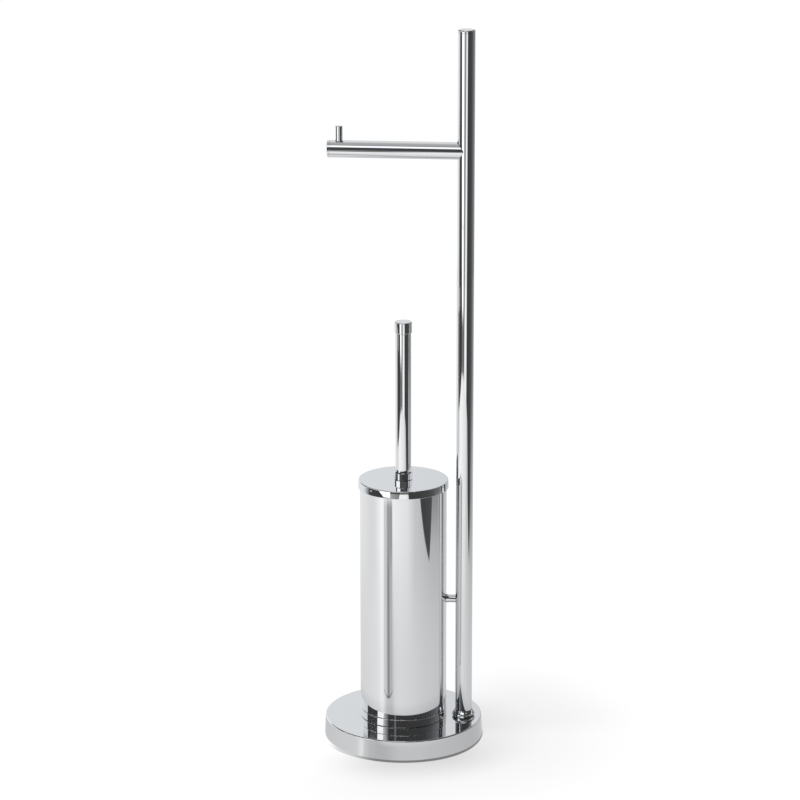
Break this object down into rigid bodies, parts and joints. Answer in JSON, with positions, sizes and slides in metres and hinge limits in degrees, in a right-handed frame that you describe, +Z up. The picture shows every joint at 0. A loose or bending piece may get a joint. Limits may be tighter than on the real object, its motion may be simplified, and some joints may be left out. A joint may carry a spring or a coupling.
{
  "type": "toilet butler stand",
  "caption": "Free-standing chrome bathroom stand: round weighted base, lidded brush in a tall canister, and a pole with a side arm for a paper roll.",
  "frame": {"origin": "on the floor under the axis of the canister, which is the centre of the round base", "axes": "+Z up along the pole; +X from the canister towards the pole, so the arm points towards -X; +Y away from the pictured side"},
  "size_m": [0.178, 0.178, 0.8011],
  "materials": {
    "chrome": "mirror-polished chrome plate",
    "fastener_steel": "zinc-plated steel",
    "stem_steel": "drawn stainless steel",
    "cast_iron": "raw casting",
    "soft_pad": "matt foam rubber",
    "cup_plastic": "moulded, satin",
    "grey_plastic": "moulded, satin",
    "bristle": "nylon filament"
  },
  "bodies": {
    "stand": {"base_pad": "soft_pad", "base_weight": "cast_iron", "base_cover": "chrome", "canister_bolt": "fastener_steel", "canister_washer": "fastener_steel", "canister_nut": "fastener_steel", "canister_foot": "chrome", "canister_tube": "chrome", "strut": "chrome", "strut_screw": "fastener_steel", "strut_anchor": "fastener_steel", "pole_bolt": "fastener_steel", "pole_washer": "fastener_steel", "pole_plug": "fastener_steel", "pole_foot_collar": "chrome", "pole_tube": "chrome", "pole_cap": "chrome", "arm_tube": "chrome", "arm_end_cap": "chrome", "arm_plug": "fastener_steel", "arm_stud": "fastener_steel", "arm_anchor": "fastener_steel", "arm_pin": "chrome", "arm_pin_nut": "fastener_steel"},
    "liner": {"liner_cup": "cup_plastic"},
    "lid": {"lid_cap": "chrome", "lid_disc": "grey_plastic", "lid_neck": "chrome", "lid_nut": "fastener_steel"},
    "brush": {"handle_cap": "chrome", "handle_tube": "chrome", "handle_collar": "chrome", "handle_plug": "fastener_steel", "stem_rod": "stem_steel", "stem_stop": "fastener_steel", "brush_core": "grey_plastic", "bristles": "bristle"}
  },
  "joints": [
    {"name": "liner_lift", "type": "slide", "parent": "stand", "child": "liner", "axis": [0, 0, 1], "range_m": [0, 0.045]},
    {"name": "brush_lift", "type": "slide", "parent": "liner", "child": "lid", "axis": [0, 0, 1], "range_m": [0, 0.13]},
    {"name": "handle_turn", "type": "hinge", "parent": "lid", "child": "brush", "pos_m": [0, 0, 0.3003], "axis": [0, 0, 1], "continuous": true}
  ]
}
